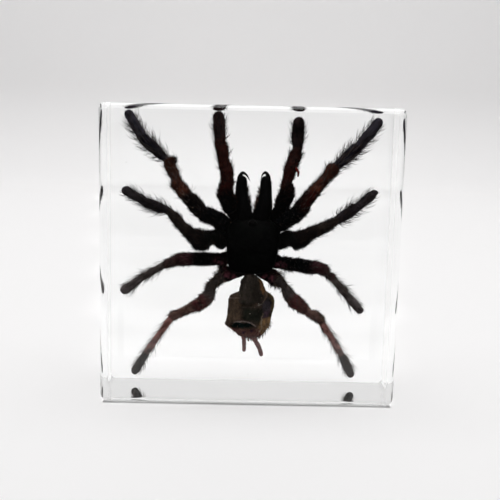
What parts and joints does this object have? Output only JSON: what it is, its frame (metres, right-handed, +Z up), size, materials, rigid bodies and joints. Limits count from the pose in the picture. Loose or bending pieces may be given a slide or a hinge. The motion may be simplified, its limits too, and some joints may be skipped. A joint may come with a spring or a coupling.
{
  "type": "tarantula in resin block",
  "caption": "Whole dried tarantula with its legs spread, cast in a clear, square, upright resin block with rounded edges, for display or study.",
  "frame": {"origin": "centre of the block's base, where it stands on a table", "axes": "+Z up, as the block stands; the front face and the spider's back look along -Y; +X to the right seen from the front"},
  "size_m": [0.073, 0.03, 0.073],
  "materials": {
    "clear_resin": "polished clear casting resin, see-through, faintly cool",
    "dried_cuticle": "dry, hairy, nearly black-brown cuticle"
  },
  "bodies": {
    "root": {"resin_front": "clear_resin", "resin_back": "clear_resin", "tarantula": "dried_cuticle"}
  },
  "joints": []
}
